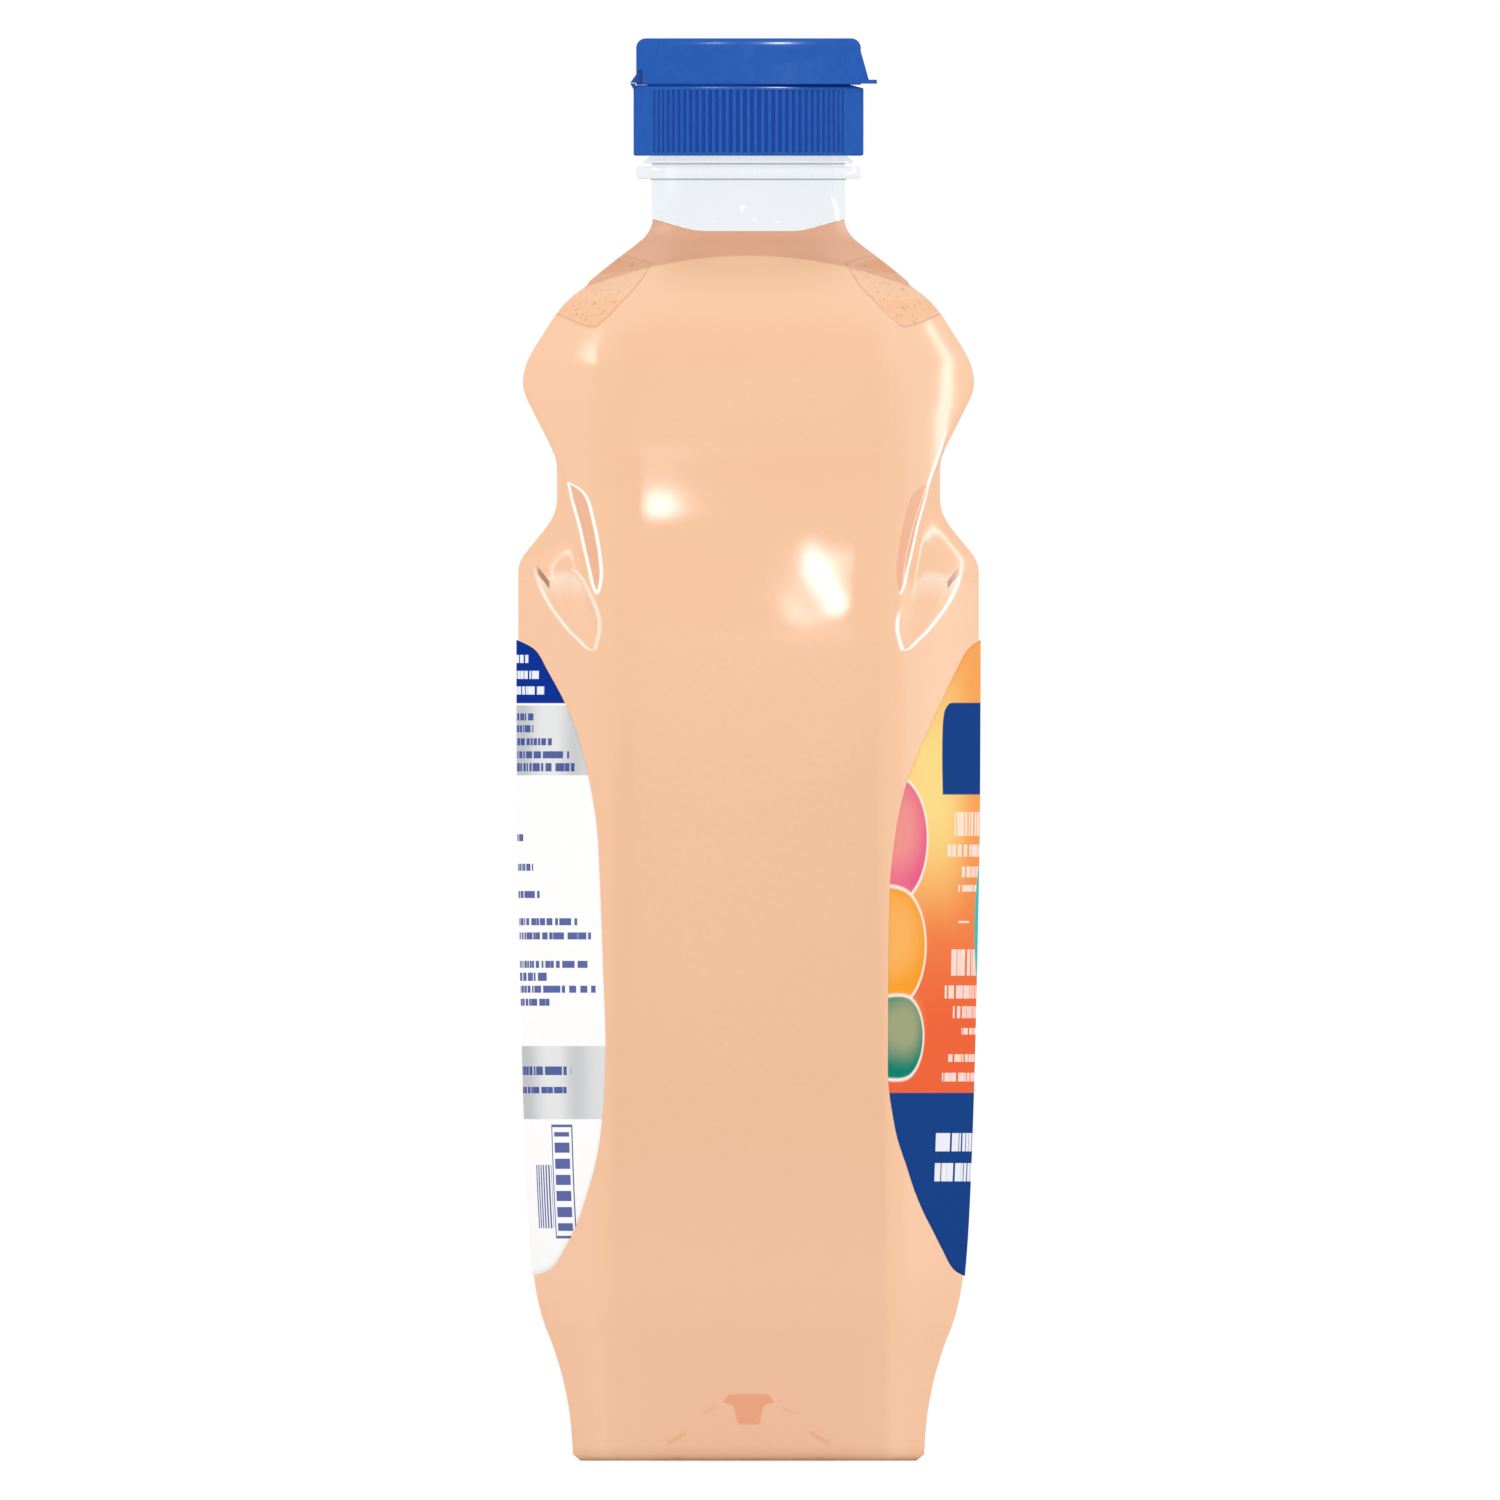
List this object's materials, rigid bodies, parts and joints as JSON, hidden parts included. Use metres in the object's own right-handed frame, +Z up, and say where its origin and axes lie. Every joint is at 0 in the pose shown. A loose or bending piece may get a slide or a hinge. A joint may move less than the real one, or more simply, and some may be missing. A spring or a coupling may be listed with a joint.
{
  "type": "hand soap refill bottle",
  "caption": "Wide clear bottle of liquid hand soap with finger grips, oval labels and a screw cap with a hinged pouring lid.",
  "frame": {"origin": "middle of the foot, on the surface that the bottle stands on", "axes": "+Z up the bottle, +X to the front label and the lid's thumb tab, Y across the wide side"},
  "size_m": [0.0864, 0.1068, 0.265],
  "materials": {
    "bottle_wall": "clear blown plastic, glossy",
    "soap": "clear peach liquid",
    "front_label": "glossy film, orange to yellow over navy",
    "back_label": "glossy white film with navy fields",
    "foil": "satin foil",
    "liner": "white foam",
    "cap": "satin blue moulded plastic"
  },
  "bodies": {
    "bottle": {"bottle": "bottle_wall", "soap_fill": "soap", "front_label": "front_label", "back_label": "back_label", "foil_seal": "foil"},
    "lifter": {"liner_washer": "liner"},
    "cap": {"cap_body": "cap"},
    "lid": {"flip_lid": "cap"}
  },
  "joints": [
    {"name": "cap_lift", "type": "slide", "parent": "bottle", "child": "lifter", "axis": [0, 0, 1], "range_m": [0, 0.0118]},
    {"name": "cap_turn", "type": "hinge", "parent": "lifter", "child": "cap", "pos_m": [0, 0, 0.2486], "axis": [0, 0, 1], "range_deg": [0, 990]},
    {"name": "lid_hinge", "type": "hinge", "parent": "cap", "child": "lid", "pos_m": [-0.0221, 0, 0.2566], "axis": [0, -1, 0], "range_deg": [0, 150]}
  ],
  "couplings": [
    {"joint": "cap_lift", "follows": "cap_turn", "m_per_rad": 0.00067375}
  ]
}
